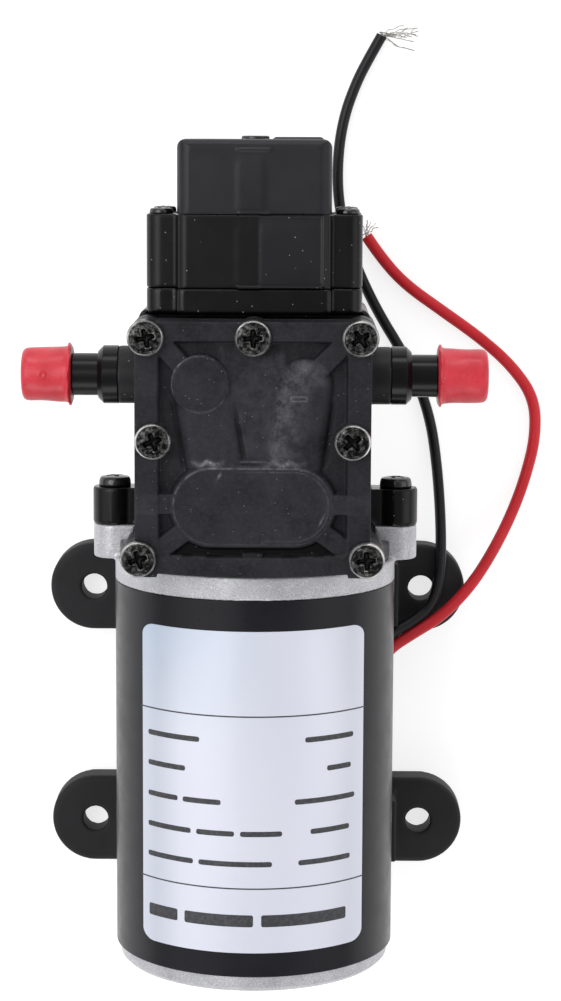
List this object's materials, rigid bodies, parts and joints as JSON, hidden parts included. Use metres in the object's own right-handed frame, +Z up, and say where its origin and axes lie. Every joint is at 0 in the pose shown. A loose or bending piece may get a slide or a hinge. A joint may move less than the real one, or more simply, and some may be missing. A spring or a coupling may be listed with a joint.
{
  "type": "diaphragm water pump",
  "caption": "Compact 12 V diaphragm pump: a motor on rubber feet, a head with opposed capped hose barbs, an end pressure switch and two stripped leads.",
  "frame": {"origin": "centre of the rectangle of the four foot holes, on the underside of the feet", "axes": "+Z up, away from the surface that the feet stand on; +Y along the motor shaft from the motor towards the pump head and pressure switch; +X from the inlet barb towards the outlet barb"},
  "size_m": [0.102, 0.1818, 0.0661],
  "materials": {
    "black_plastic": "moulded, matte",
    "black_sleeve": "satin",
    "label": "silvery film",
    "can_steel": "zinc plated under the sleeve",
    "cast_silver": "as cast",
    "foot_rubber": "matte",
    "seal_rubber": "matte",
    "dark_screws": "dark nickel",
    "bright_steel": "zinc plated",
    "magnet": "ferrite",
    "core": "laminated steel",
    "copper": "enamelled wire and copper",
    "carbon": "carbon",
    "tan_board": "pressed board",
    "holder_brass": "stamped",
    "white_nylon": "moulded",
    "switch_case": "moulded",
    "red_vinyl": "soft, satin",
    "red_insulation": "satin",
    "black_insulation": "satin",
    "tinned_copper": "tinned"
  },
  "bodies": {
    "pump": {"black_lead": "black_insulation", "black_strands": "tinned_copper", "bracket_screws": "bright_steel", "brush_card": "tan_board", "brush_holders": "holder_brass", "brush_springs": "bright_steel", "cover_screws": "dark_screws", "diaphragm": "seal_rubber", "flange_screws": "dark_screws", "foot_front_left": "foot_rubber", "foot_front_right": "foot_rubber", "foot_rear_left": "foot_rubber", "foot_rear_right": "foot_rubber", "front_bearing": "bright_steel", "front_cover": "black_plastic", "front_end_cover": "cast_silver", "inlet_fitting": "black_plastic", "inlet_oring": "seal_rubber", "lead_grommet": "seal_rubber", "magnet_left": "magnet", "magnet_right": "magnet", "microswitch": "switch_case", "motor_can": "can_steel", "mount_bracket": "bright_steel", "outlet_fitting": "black_plastic", "outlet_oring": "seal_rubber", "pump_housing": "black_plastic", "rating_label": "label", "rear_bearing": "bright_steel", "rear_end_cap": "cast_silver", "red_lead": "red_insulation", "red_strands": "tinned_copper", "sleeve_wrap": "black_sleeve", "spring_cup": "bright_steel", "switch_body": "black_plastic", "switch_cap": "black_plastic", "switch_diaphragm": "seal_rubber", "switch_screws": "dark_screws", "switch_spring": "bright_steel", "through_bolts": "bright_steel", "valve_gasket": "seal_rubber", "valve_plate": "black_plastic"},
    "rotor": {"motor_shaft": "bright_steel", "armature_core": "core", "armature_windings": "copper", "commutator": "copper", "eccentric": "bright_steel", "grub_screw": "bright_steel"},
    "rod": {"connecting_rod": "white_nylon", "rod_bearing": "bright_steel", "diaphragm_clamp": "bright_steel", "clamp_screw": "bright_steel"},
    "inlet_valve_body": {"inlet_valve": "seal_rubber"},
    "outlet_valve_body": {"outlet_valve": "seal_rubber"},
    "brush_left_body": {"brush_left": "carbon"},
    "brush_right_body": {"brush_right": "carbon"},
    "plunger": {"switch_plunger": "white_nylon"},
    "adjuster": {"adjust_screw": "bright_steel"},
    "inlet_cap_body": {"inlet_cap": "red_vinyl"},
    "outlet_cap_body": {"outlet_cap": "red_vinyl"}
  },
  "joints": [
    {"name": "motor_spin", "type": "hinge", "parent": "pump", "child": "rotor", "pos_m": [0, 0, 0.035], "axis": [0, 1, 0], "continuous": true, "deforming": ["diaphragm"]},
    {"name": "rod_on_eccentric", "type": "hinge", "parent": "rotor", "child": "rod", "pos_m": [0, 0.053, 0.0333], "axis": [0, 1, 0], "continuous": true},
    {"name": "inlet_valve_lift", "type": "slide", "parent": "pump", "child": "inlet_valve_body", "axis": [0, 0, -1], "range_m": [0, 0.00045], "stiffness_N_per_m": 60, "springref_m": -0.0003},
    {"name": "outlet_valve_lift", "type": "slide", "parent": "pump", "child": "outlet_valve_body", "axis": [0, 0, 1], "range_m": [0, 0.00045], "stiffness_N_per_m": 60, "springref_m": -0.0003},
    {"name": "brush_left_slide", "type": "slide", "parent": "pump", "child": "brush_left_body", "axis": [-1, 0, 0], "range_m": [0, 0.003], "stiffness_N_per_m": 300, "springref_m": -0.004, "deforming": ["brush_springs"]},
    {"name": "brush_right_slide", "type": "slide", "parent": "pump", "child": "brush_right_body", "axis": [1, 0, 0], "range_m": [0, 0.003], "stiffness_N_per_m": 300, "springref_m": -0.004},
    {"name": "switch_plunger_travel", "type": "slide", "parent": "pump", "child": "plunger", "axis": [0, 1, 0], "range_m": [0, 0.0008], "stiffness_N_per_m": 500, "springref_m": -0.002, "deforming": ["switch_spring", "switch_diaphragm"]},
    {"name": "adjust_screw_turn", "type": "hinge", "parent": "pump", "child": "adjuster", "pos_m": [0, 0.11575, 0.0445], "axis": [0, 1, 0], "range_deg": [-360, 360]},
    {"name": "inlet_cap_pull", "type": "slide", "parent": "pump", "child": "inlet_cap_body", "axis": [-1, 0, 0], "range_m": [0, 0.04]},
    {"name": "outlet_cap_pull", "type": "slide", "parent": "pump", "child": "outlet_cap_body", "axis": [1, 0, 0], "range_m": [0, 0.04]}
  ],
  "couplings": [
    {"joint": "rod_on_eccentric", "follows": "motor_spin", "ratio": -1}
  ]
}
